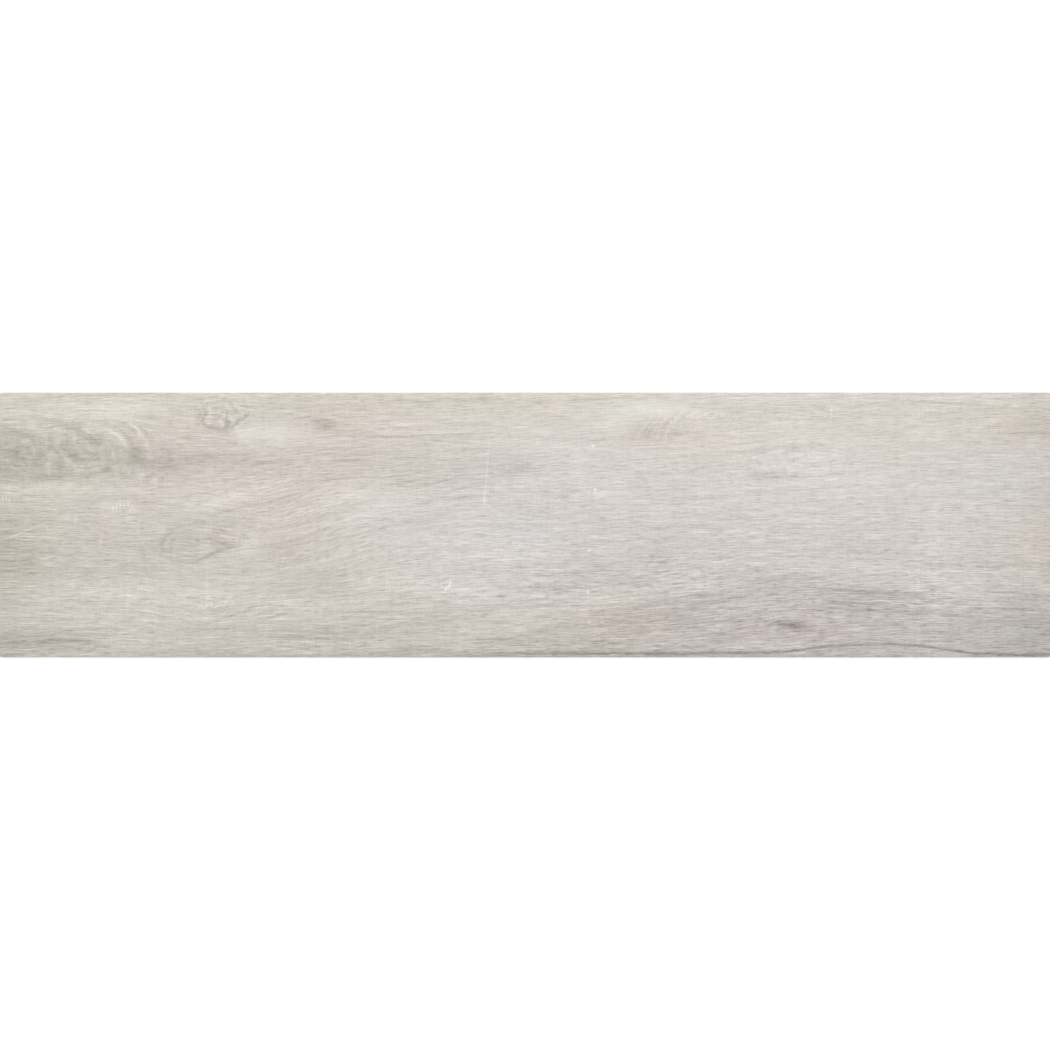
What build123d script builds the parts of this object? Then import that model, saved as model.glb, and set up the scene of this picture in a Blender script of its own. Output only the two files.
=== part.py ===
from build123d import *
from math import sqrt
import os

# A floor tile in the plank format: one slab of porcelain stoneware, dry-pressed in one piece,
# with a wood-grain face. It lies face up on its back.
# The origin is at the middle of the back. +X runs along the plank, +Y across it, +Z up out of the face.
# Lengths are in millimetres and angles in degrees.

# The slab, as it leaves the kiln
length = 802.0
width = 202.0
thickness = 10.0

# The sides, from the face down: a softened arris, an upright band that meets the next tile's,
# then a wall that leans in towards the back so that the slab leaves its mould
plan_corner_radius = 2.0
arris_radius = 1.2
upright_band = 5.5
side_draft = 3.0
back_bevel = 0.8

# The back: a plain border round a honeycomb of shallow recesses, with the mould's ribs between them
border = 11.0
recess_across_flats = 21.0
rib_width = 3.0
recess_depth = 0.8
recess_draft = 35.0

# The drafted wall starts where the upright band ends
drafted_height = thickness - upright_band

# The honeycomb has points along X and flats along Y, and every second column is half a row up
half_pitch = (recess_across_flats + rib_width) / 2
row_pitch = 2 * half_pitch
column_pitch = sqrt(3) * half_pitch
recess_across_points = 2 * recess_across_flats / sqrt(3)
field_length = length - 2 * border
field_width = width - 2 * border
columns = 1 + int((field_length - recess_across_points) // column_pitch)
rows = 1 + int((field_width - recess_across_flats - half_pitch) // row_pitch)

# One recess: a hexagon at the back's surface that narrows towards its floor
with BuildPart() as recess:
    with BuildSketch(Plane.XY):
        RegularPolygon(recess_across_flats / 2, 6, major_radius=False)
    extrude(amount=recess_depth, taper=recess_draft)

with BuildPart() as floor_tile:
    # The upright half of the slab, under the face
    with BuildSketch(Plane.XY.offset(drafted_height)) as outline:
        RectangleRounded(length, width, plan_corner_radius)
    extrude(amount=upright_band)

    # The half under it, drawn in towards the back
    extrude(outline.sketch, amount=-drafted_height, taper=side_draft)

    # The arris round the face, and the bevel round the back
    fillet(floor_tile.faces().sort_by(Axis.Z)[-1].edges(), arris_radius)
    chamfer(floor_tile.faces().sort_by(Axis.Z)[0].edges(), back_bevel)

    # The relief that the adhesive keys into
    with HexLocations(half_pitch, columns, rows):
        add(recess.part, mode=Mode.SUBTRACT)

floor_tile.part.label = "floor_tile"

os.makedirs("parts", exist_ok=True)
export_step(floor_tile.part, "parts/floor_tile.step")
print("recesses", columns, "columns of", rows)
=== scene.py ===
import math
import bmesh
import bpy
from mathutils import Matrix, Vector


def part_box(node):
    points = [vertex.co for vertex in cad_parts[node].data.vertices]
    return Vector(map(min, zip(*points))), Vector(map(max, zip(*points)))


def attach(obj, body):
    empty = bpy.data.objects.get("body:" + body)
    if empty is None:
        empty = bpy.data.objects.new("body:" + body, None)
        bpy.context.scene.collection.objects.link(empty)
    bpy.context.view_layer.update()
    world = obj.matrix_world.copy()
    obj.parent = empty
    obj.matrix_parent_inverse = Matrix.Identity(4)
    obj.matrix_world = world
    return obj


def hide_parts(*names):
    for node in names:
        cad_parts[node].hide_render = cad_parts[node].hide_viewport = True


mm = 0.001
hair = 0.01 * mm  # less than any real step in height
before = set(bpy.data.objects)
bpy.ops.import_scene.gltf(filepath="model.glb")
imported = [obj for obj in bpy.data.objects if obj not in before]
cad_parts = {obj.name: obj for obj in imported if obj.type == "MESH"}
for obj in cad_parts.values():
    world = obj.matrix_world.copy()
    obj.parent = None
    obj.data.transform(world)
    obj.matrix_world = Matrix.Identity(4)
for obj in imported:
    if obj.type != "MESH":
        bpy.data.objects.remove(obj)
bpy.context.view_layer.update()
tileLow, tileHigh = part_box("floor_tile")
halfLength = (tileHigh.x - tileLow.x) / 2
halfWidth = (tileHigh.y - tileLow.y) / 2
thickness = tileHigh.z - tileLow.z
print("frame loaded, tile", round(2 * halfLength / mm, 1), "x", round(2 * halfWidth / mm, 1), "mm")


# Small helpers for node trees, the same for shaders and for geometry

def addNode(tree, kind, inputs=None, **settings):
    node = tree.nodes.new(kind)
    for name, value in settings.items():
        setattr(node, name, value)
    for key, value in (inputs or {}).items():
        if isinstance(value, bpy.types.NodeSocket):
            tree.links.new(value, node.inputs[key])
        else:
            node.inputs[key].default_value = value
    return node


def made(tree, kind, inputs=None, **settings):
    # a new node's first output
    return addNode(tree, kind, inputs, **settings).outputs[0]


def calc(tree, operation, a, b=0.0, c=0.0, clamp=False):
    return made(tree, "ShaderNodeMath", {0: a, 1: b, 2: c}, operation=operation, use_clamp=clamp)


def times(tree, a, b):
    return calc(tree, "MULTIPLY", a, b)


def timesPlus(tree, a, b, c):
    return calc(tree, "MULTIPLY_ADD", a, b, c)


def minus(tree, a, b):
    return calc(tree, "SUBTRACT", a, b)


def centred(tree, value):
    return minus(tree, value, 0.5)


def split(tree, vector):
    # a vector's x, y and z
    return addNode(tree, "ShaderNodeSeparateXYZ", {0: vector}).outputs


def vectorCalc(tree, operation, a, b=(0, 0, 0)):
    node = addNode(tree, "ShaderNodeVectorMath", {0: a, 1: b}, operation=operation)
    return node.outputs["Value" if operation in ("DOT_PRODUCT", "LENGTH") else 0]


def smoothRange(tree, value, fromLow, fromHigh, toLow=0.0, toHigh=1.0):
    inputs = {"Value": value, "From Min": fromLow, "From Max": fromHigh, "To Min": toLow, "To Max": toHigh}
    return made(tree, "ShaderNodeMapRange", inputs, interpolation_type="SMOOTHSTEP")


def stretchedNoise(tree, along, across, layer):
    # a noise from 0 to 1. Layer is its patches' length along and across in mm, detail, roughness and shift
    lengthAlong, lengthAcross, detail, roughness, shift = layer
    u = timesPlus(tree, along, 1 / lengthAlong, shift)
    v = timesPlus(tree, across, 1 / lengthAcross, shift * 0.37)
    place = made(tree, "ShaderNodeCombineXYZ", {0: u, 1: v})
    inputs = {"Vector": place, "Scale": 1.0, "Detail": detail, "Roughness": roughness}
    return made(tree, "ShaderNodeTexNoise", inputs, noise_dimensions="2D")


def groupSockets(tree, inputs, outputs):
    for side, sockets in (("INPUT", inputs), ("OUTPUT", outputs)):
        for name, kind in sockets.items():
            tree.interface.new_socket(name, in_out=side, socket_type="NodeSocket" + kind)
    return tree.nodes.new("NodeGroupInput"), tree.nodes.new("NodeGroupOutput")


def spotGroup(treeKind, name, bends, pushes):
    # adds one soft oval to a running sum: its level falls off as exp(-r squared).
    # Place is (x, y, 1), and Row U and Row V turn it into the oval's own half lengths and half widths
    tree = bpy.data.node_groups.new(name, treeKind)
    inputs = {"Sum": "Float", "Place": "Vector", "Row U": "Vector", "Row V": "Vector"}
    inputs |= {"Bend": "Float", "Level": "Float"} if bends else {"Level": "Float"}
    start, end = groupSockets(tree, inputs, {"Sum": "Float"})
    u = vectorCalc(tree, "DOT_PRODUCT", start.outputs["Place"], start.outputs["Row U"])
    v = vectorCalc(tree, "DOT_PRODUCT", start.outputs["Place"], start.outputs["Row V"])
    squares = times(tree, u, u)
    if bends:  # curls the oval's ends
        v = timesPlus(tree, squares, start.outputs["Bend"], v)
    squares = timesPlus(tree, v, v, squares)
    falloff = calc(tree, "POWER", math.exp(-1), squares)
    if pushes:  # lifts what is above the oval's middle and lowers what is below it
        falloff = times(tree, falloff, v)
    total = timesPlus(tree, falloff, start.outputs["Level"], start.outputs["Sum"])
    tree.links.new(total, end.inputs["Sum"])
    return tree


treeKinds = ("ShaderNodeTree", "GeometryNodeTree")
softSpots = {kind: spotGroup(kind, "softSpot", False, False) for kind in treeKinds}
strokes = {kind: spotGroup(kind, "stroke", True, False) for kind in treeKinds}
swells = {kind: spotGroup(kind, "swell", False, True) for kind in treeKinds}


def addSpots(tree, place, spots, total=0.0, groups=softSpots):
    # spots is {name: (x, y, half length, half width, turn, level)} in mm on the face and degrees,
    # or with a bend, in mm at its ends, before the level
    kind = "GeometryNodeGroup" if tree.bl_idname == "GeometryNodeTree" else "ShaderNodeGroup"
    for name, (x, y, spotLength, spotWidth, turn, *bend, level) in spots.items():
        node = tree.nodes.new(kind)
        straight = groups is strokes and not any(bend)
        node.node_tree = (softSpots if straight else groups)[tree.bl_idname]
        node.label = name
        if isinstance(total, bpy.types.NodeSocket):
            tree.links.new(total, node.inputs["Sum"])
        else:
            node.inputs["Sum"].default_value = total
        tree.links.new(place, node.inputs["Place"])
        c, s = math.cos(math.radians(turn)), math.sin(math.radians(turn))
        node.inputs["Row U"].default_value = (c / spotLength, s / spotLength, -(x * c + y * s) / spotLength)
        node.inputs["Row V"].default_value = (-s / spotWidth, c / spotWidth, (x * s - y * c) / spotWidth)
        if any(bend):
            node.inputs["Bend"].default_value = -bend[0] / spotWidth
        node.inputs["Level"].default_value = level * (spotWidth if groups is swells else 1)
        total = node.outputs["Sum"]
    return total


def facePlace(tree, position):
    # the place on the face as (x, y, 1), in millimetres
    inputs = {0: position, 1: (1 / mm, 1 / mm, 0), 2: (0, 0, 1)}
    return made(tree, "ShaderNodeVectorMath", inputs, operation="MULTIPLY_ADD")


# The figure of the wood: where its fibres run

grainSettings = {
    "rises": {  # x, y, half length, half width, turn, how far the lines rise, in mm and degrees
        "riseToMiddle": (-50, -8, 95, 44, 0, 16),
        "riseTail": (100, -4, 130, 50, 0, 13),
        "riseFar": (300, 0, 170, 54, 0, 13),
        "riseOverall": (700, 0, 600, 400, 0, 30),
        "rightArch": (205, -58, 95, 28, 0, 7),
        "footArch": (268, -96, 52, 12, 0, 6),
        "lowDip": (-200, -72, 50, 16, 0, -6),
        "eyeShoulder": (-318, 78, 34, 14, 0, 6),
        "topDip": (-185, 92, 40, 14, 0, -3),
    },
    "swells": {  # x, y, half length, half width, turn, how strongly the lines part round it
        "eye": (-366, 52, 66, 25, 0, 0.4),
        "raggedKnot": (-228, 84, 17, 12, 0, 0.5),
        "smallKnot": (-155, 78, 15, 8, 0, 0.6),
        "ovalKnot": (-247, -14, 36, 15, 6, 0.6),
        "brownPatch": (100, 70, 26, 10, 4, 0.35),
        "smudgeMiddle": (-2, 44, 24, 9, 6, 0.4),
        "bowTie": (204, -77, 18, 7, -8, 0.35),
        "smudgeRight": (183, 37, 20, 8, 0, 0.5),
        "rightFigure": (215, 48, 34, 14, 0, 0.45),
        "tiltUpper": (-175, 14, 24, 50, -90, 0.3),
        "tiltLower": (-141, -19, 26, 60, -90, 0.15),
        "tiltLowLeft": (-225, -72, 18, 46, -90, 0.26),
        "lowRings": (99, -28, 14, 8, 0, 0.3),
    },
    "waves": {  # x, y, half length, half width, turn, how much more the lines waver there, in mm
        "leftMiddle": (-210, -24, 110, 34, 0, 1.8),
        "lowLeft": (-240, -74, 90, 22, 0, 1.6),
        "eye": (-350, 54, 60, 22, 0, 2.2),
        "raggedKnot": (-228, 84, 24, 16, 0, 2.2),
        "rightFigure": (190, 52, 120, 22, 0, 2.2),
        "brownPatch": (110, 74, 50, 14, 0, 1.2),
        "lowMiddle": (60, -56, 60, 26, 0, 1.4),
        "smudgeMiddle": (-6, 44, 34, 16, 0, 1.4),
    },
    "waveEverywhere": 0.5,
    "fibresFollow": 0.75,  # the part of the lift that the fibres follow
    "wanderHeight": 2.4,  # how far the lines wander by themselves, in mm
    "poreStart": 0.55,
    "poreFull": 0.75,
}

# The noises of the grain: patches' length along and across in mm, detail, roughness and shift
grainLayers = {
    "fine": (15.0, 0.66, 3.0, 0.65, 1.7),
    "long": (50.0, 0.7, 2.0, 0.6, 9.3),
    "pores": (7.0, 0.75, 1.0, 0.5, 8.1),
    "bands": (70.0, 4.2, 3.0, 0.6, 3.9),
    "waves": (26.0, 9.0, 3.0, 0.6, 5.3),
    "wander": (210.0, 36.0, 1.0, 0.5, 0.0),
}


def grainLift(tree, place):
    # how far the grain lines are lifted from level ones, in millimetres
    settings = grainSettings
    lift = addSpots(tree, place, settings["rises"])
    lift = addSpots(tree, place, settings["swells"], lift, swells)
    along, across = split(tree, place)[:2]
    wave = centred(tree, stretchedNoise(tree, along, across, grainLayers["waves"]))
    height = addSpots(tree, place, settings["waves"], settings["waveEverywhere"])
    return timesPlus(tree, wave, times(tree, height, 2.0), lift)


def fibres(tree, place, lift):
    # the layers of the wood, each from 0 to 1: fine fibres, long fibres, dark pores and broader bands.
    # The bands follow the lift in full, and the fibres only a part of it
    settings = grainSettings
    along, across = split(tree, place)[:2]
    wander = stretchedNoise(tree, along, across, grainLayers["wander"])
    level = timesPlus(tree, wander, 2 * settings["wanderHeight"], across)
    bandLine = minus(tree, level, lift)
    line = timesPlus(tree, lift, -settings["fibresFollow"], level)
    fine, long, pores = (stretchedNoise(tree, along, line, grainLayers[n]) for n in ("fine", "long", "pores"))
    bands = stretchedNoise(tree, along, bandLine, grainLayers["bands"])
    return fine, long, smoothRange(tree, pores, settings["poreStart"], settings["poreFull"]), bands


# The slab: a fine face grid, the arris, the upright band, the drafted wall and the bevel, open at the back

slabSettings = {
    "cornerRadius": 2.0 * mm,
    "arrisRadius": 1.2 * mm,
    "arrisSteps": 4,
    "uprightBand": 5.5 * mm,
    "sideDraft": math.radians(3.0),
    "backBevel": 0.8 * mm,
    "stepAlong": 2.1 * mm,
    "stepAcross": 0.95 * mm,
    "cornerSteps": (0.0, 0.3 * mm, 0.65 * mm, 1.2 * mm),  # closer lines where the outline turns
}


def gridLines(half, step, cornerSteps):
    inner = half - cornerSteps[-1]
    count = round(2 * inner / step)
    middle = [-inner + 2 * inner * i / count for i in range(1, count)]
    ends = [half - s for s in cornerSteps]
    return [-e for e in ends] + middle + ends[::-1]


def buildSlab(settings):
    corner, arris = settings["cornerRadius"], settings["arrisRadius"]
    draftedHeight = thickness - settings["uprightBand"]
    slope = math.tan(settings["sideDraft"])
    bevel = settings["backBevel"]
    xs = gridLines(halfLength - arris, settings["stepAlong"], settings["cornerSteps"])
    ys = gridLines(halfWidth - arris, settings["stepAcross"], settings["cornerSteps"])
    profile = []  # how far each ring stands in from the outline, and how high
    for i in range(1, settings["arrisSteps"] + 1):
        angle = math.pi / 2 * i / settings["arrisSteps"]
        profile.append((arris * (1 - math.sin(angle)), thickness - arris * (1 - math.cos(angle))))
    profile.append((0.0, draftedHeight))
    profile.append(((draftedHeight - bevel) * slope, bevel))
    profile.append((draftedHeight * slope + bevel, 0.0))

    def outward(x, y):
        # the corner's centre or the nearest point on a straight side, and the way out from there
        base = Vector((
            max(-halfLength + corner, min(halfLength - corner, x)),
            max(-halfWidth + corner, min(halfWidth - corner, y)),
        ))
        return base, (Vector((x, y)) - base).normalized()

    def onOutline(x, y, inset):
        base, way = outward(x, y)
        return base + way * (corner - inset)

    mesh = bmesh.new()
    grid = []
    for i, x in enumerate(xs):
        column = []
        for j, y in enumerate(ys):
            onEdge = i in (0, len(xs) - 1) or j in (0, len(ys) - 1)
            place = onOutline(x, y, arris) if onEdge else Vector((x, y))
            column.append(mesh.verts.new((place.x, place.y, thickness)))
        grid.append(column)
    for i in range(len(xs) - 1):
        for j in range(len(ys) - 1):
            mesh.faces.new((grid[i][j], grid[i + 1][j], grid[i + 1][j + 1], grid[i][j + 1]))
    last = len(xs) - 1, len(ys) - 1
    walk = [(i, 0) for i in range(last[0])] + [(last[0], j) for j in range(last[1])]
    walk += [(i, last[1]) for i in range(last[0], 0, -1)] + [(0, j) for j in range(last[1], 0, -1)]
    ring = [grid[i][j] for i, j in walk]
    for inset, height in profile:
        places = [onOutline(xs[i], ys[j], inset) for i, j in walk]
        lower = [mesh.verts.new((p.x, p.y, height)) for p in places]
        for k in range(len(ring)):
            n = (k + 1) % len(ring)
            mesh.faces.new((ring[k], lower[k], lower[n], ring[n]))
        ring = lower
    data = bpy.data.meshes.new("floorTile")
    mesh.to_mesh(data)
    mesh.free()
    piece = bpy.data.objects.new("floorTile", data)
    bpy.context.scene.collection.objects.link(piece)
    return piece


# The face's relief: the press plate presses the grain in, so nothing stands above the flat

reliefSettings = {
    "Fibre depth": 0.043 * mm,
    "Pore depth": 0.085 * mm,
    "Band depth": 0.075 * mm,
    "Edge fade": 2.5 * mm,
}


def faceReliefTree(fields):
    # presses the grain into the face, and keeps the print's softest fields on its points
    tree = bpy.data.node_groups.new("faceRelief", "GeometryNodeTree")
    inputs = {"Geometry": "Geometry"} | {name: "Float" for name in reliefSettings}
    start, end = groupSockets(tree, inputs, {"Geometry": "Geometry"})
    position = made(tree, "GeometryNodeInputPosition")
    place = facePlace(tree, position)
    values = {name: addSpots(tree, place, spots, base) for name, (base, spots) in fields.items()}
    values["grainLift"] = grainLift(tree, place)
    kept = start.outputs["Geometry"]
    for name, value in values.items():
        inputs = {"Geometry": kept, "Name": name, "Value": value}
        kept = made(tree, "GeometryNodeStoreNamedAttribute", inputs, data_type="FLOAT", domain="POINT")
    lift = made(tree, "GeometryNodeInputNamedAttribute", {"Name": "grainLift"}, data_type="FLOAT")
    fine, long, pores, bands = fibres(tree, place, lift)
    depth = times(tree, calc(tree, "ADD", fine, long), start.outputs["Fibre depth"])
    depth = timesPlus(tree, pores, start.outputs["Pore depth"], depth)
    depth = timesPlus(tree, bands, start.outputs["Band depth"], depth)
    parts = split(tree, position)
    flatHalf = (halfLength - slabSettings["arrisRadius"], halfWidth - slabSettings["arrisRadius"])
    for axis in (0, 1):  # the relief runs out before the arris
        inside = minus(tree, flatHalf[axis], calc(tree, "ABSOLUTE", parts[axis]))
        fade = smoothRange(tree, inside, 0.0, start.outputs["Edge fade"])
        depth = times(tree, depth, fade)
    onFace = calc(tree, "GREATER_THAN", parts[2], thickness - hair)
    offset = made(tree, "ShaderNodeCombineXYZ", {2: times(tree, depth, -1.0)})
    moved = made(tree, "GeometryNodeSetPosition", {"Geometry": kept, "Selection": onFace, "Offset": offset})
    tree.links.new(moved, end.inputs["Geometry"])
    return tree


# The back: hexagonal recesses inside a plain border, which close the slab

backSettings = {
    "Columns": 37,
    "Rows": 7,
    "Cell pitch": 24.0 * mm,
    "Across flats": 21.0 * mm,
    "Depth": 0.8 * mm,
    "Wall draft": math.radians(35.0),
}


def honeycombTree(materials):
    tree = bpy.data.node_groups.new("honeycombBack", "GeometryNodeTree")
    kinds = {name: "Int" if isinstance(value, int) else "Float" for name, value in backSettings.items()}
    start, end = groupSockets(tree, {"Geometry": "Geometry"} | kinds, {"Geometry": "Geometry"})
    given = start.outputs
    # the open rim of the slab, as a closed curve
    neighbours = made(tree, "GeometryNodeInputMeshEdgeNeighbors")
    openEdge = made(tree, "FunctionNodeCompare", {2: neighbours, 3: 1}, data_type="INT", operation="EQUAL")
    rim = made(tree, "GeometryNodeMeshToCurve", {"Mesh": given["Geometry"], "Selection": openEdge})
    # the middle of each cell, column by column, every second column half a row up
    count = times(tree, given["Columns"], given["Rows"])
    index = made(tree, "GeometryNodeInputIndex")
    column = calc(tree, "FLOOR", calc(tree, "DIVIDE", index, given["Rows"]))
    row = minus(tree, index, times(tree, column, given["Rows"]))
    odd = calc(tree, "MODULO", column, 2.0)
    columnPitch = times(tree, given["Cell pitch"], math.sqrt(3) / 2)
    middleColumn = timesPlus(tree, given["Columns"], 0.5, -0.5)
    middleRow = timesPlus(tree, given["Rows"], 0.5, -0.25)
    x = times(tree, minus(tree, column, middleColumn), columnPitch)
    halfUp = timesPlus(tree, odd, 0.5, row)
    y = times(tree, minus(tree, halfUp, middleRow), given["Cell pitch"])
    cellPlace = made(tree, "ShaderNodeCombineXYZ", {0: x, 1: y})
    cells = made(tree, "GeometryNodePoints", {"Count": count, "Position": cellPlace})
    # the rim of a recess, cut out of the back's plane
    cellRadius = calc(tree, "DIVIDE", given["Across flats"], math.sqrt(3))
    inputs = {"Resolution": 6, "Radius": cellRadius}
    hexagon = made(tree, "GeometryNodeCurvePrimitiveCircle", inputs, mode="RADIUS")
    rims = made(tree, "GeometryNodeInstanceOnPoints", {"Points": cells, "Instance": hexagon})
    rims = made(tree, "GeometryNodeRealizeInstances", {"Geometry": rims})
    outline = addNode(tree, "GeometryNodeJoinGeometry")
    tree.links.new(rim, outline.inputs[0])
    tree.links.new(rims, outline.inputs[0])
    plane = made(tree, "GeometryNodeFillCurve", {"Curve": outline.outputs[0]}, mode="TRIANGLES")
    plane = made(tree, "GeometryNodeFlipFaces", {"Mesh": plane})
    # the recess itself, a shallow six-sided cup that narrows towards its floor
    run = times(tree, given["Depth"], calc(tree, "TANGENT", given["Wall draft"]))
    floorFlats = timesPlus(tree, run, -2.0, given["Across flats"])
    floorRadius = calc(tree, "DIVIDE", floorFlats, math.sqrt(3))
    inputs = {"Vertices": 6, "Radius Top": floorRadius, "Radius Bottom": cellRadius}
    inputs["Depth"] = given["Depth"]
    cone = addNode(tree, "GeometryNodeMeshCone", inputs, fill_type="NGON")
    inputs = {"Geometry": cone.outputs["Mesh"], "Selection": cone.outputs["Bottom"]}
    cup = made(tree, "GeometryNodeDeleteGeometry", inputs, domain="FACE")
    cup = made(tree, "GeometryNodeFlipFaces", {"Mesh": cup})
    cups = made(tree, "GeometryNodeInstanceOnPoints", {"Points": cells, "Instance": cup})
    joined = addNode(tree, "GeometryNodeJoinGeometry")
    for part in (given["Geometry"], plane, cups):
        tree.links.new(part, joined.inputs[0])
    whole = made(tree, "GeometryNodeRealizeInstances", {"Geometry": joined.outputs[0]})
    whole = made(tree, "GeometryNodeMergeByDistance", {"Geometry": whole, "Distance": hair / 2})
    # the glaze covers the face and the arris, and the bare body starts at the arris's foot
    position = made(tree, "GeometryNodeInputPosition")
    height = split(tree, position)[2]
    arrisFoot = thickness - slabSettings["arrisRadius"]
    glazed = calc(tree, "GREATER_THAN", height, arrisFoot)
    whole = made(tree, "GeometryNodeSetMaterial", {"Geometry": whole, "Material": materials["body"]})
    inputs = {"Geometry": whole, "Selection": glazed, "Material": materials["glaze"]}
    whole = made(tree, "GeometryNodeSetMaterial", inputs)
    tree.links.new(whole, end.inputs["Geometry"])
    return tree


# The print on the glaze, painted as grey levels of 255 and turned into a colour at the end

printSettings = {
    "colour": (210.0, 203.5, 196.5),
    "fibreLevel": 80.0,
    "longLevel": 42.0,
    "poreLevel": -17.0,
    "bandLevel": 25.0,
    "crossLevel": 16.0,  # the weave of saw marks across the fibres
    "speckleLevel": 12.0,
    "mottleLevel": 84.0,
    "hatchLevel": 46.0,
    "hatchTurn": 52.0,  # degrees
    "fray": (26.0, 3.0),  # how far along and across the grain the patches' ends fray, in mm
    "roughen": (3.5, 1.5),  # the same for drawn strokes
    "wobble": 1.2,  # how far the long lines waver, in mm
    "footLevel": -11.0,
    "footSoftness": 5.0,
    "crackLevel": -41.0,
    "crackWidth": 1.0,
    "crackStart": -70.0,  # the crack fades in along the plank between these two
    "crackFull": 30.0,
    "roughness": 0.62,
    "fibreRoughness": -0.3,
    "poreRoughness": 0.12,
    "nickRoughness": 0.2,
    "bumpDepth": 0.03 * mm,
    "arrisStart": 0.3 * mm,  # below the face
    "arrisFull": 0.7 * mm,
    "arrisHighlightLevel": 5.0,  # a painted highlight: the arris is made paler, as where light catches it
    "nickLevel": -26.0,  # the glaze is nicked down to the body here and there
    "nickSize": 2.6 * mm,
    "nickStart": 0.66,
    "nickFull": 0.7,
    "nickDepth": 3.0,
}

# The print's own noises, as in grainLayers
printLayers = {
    "cross": (0.9, 11.0, 2.0, 0.6, 4.4),
    "mottle": (8.0, 8.0, 4.0, 0.65, 0.0),
    "speckle": (1.7, 1.3, 2.0, 0.6, 6.1),
    "hatch": (7.0, 1.1, 1.0, 0.5, 2.2),
}

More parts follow.
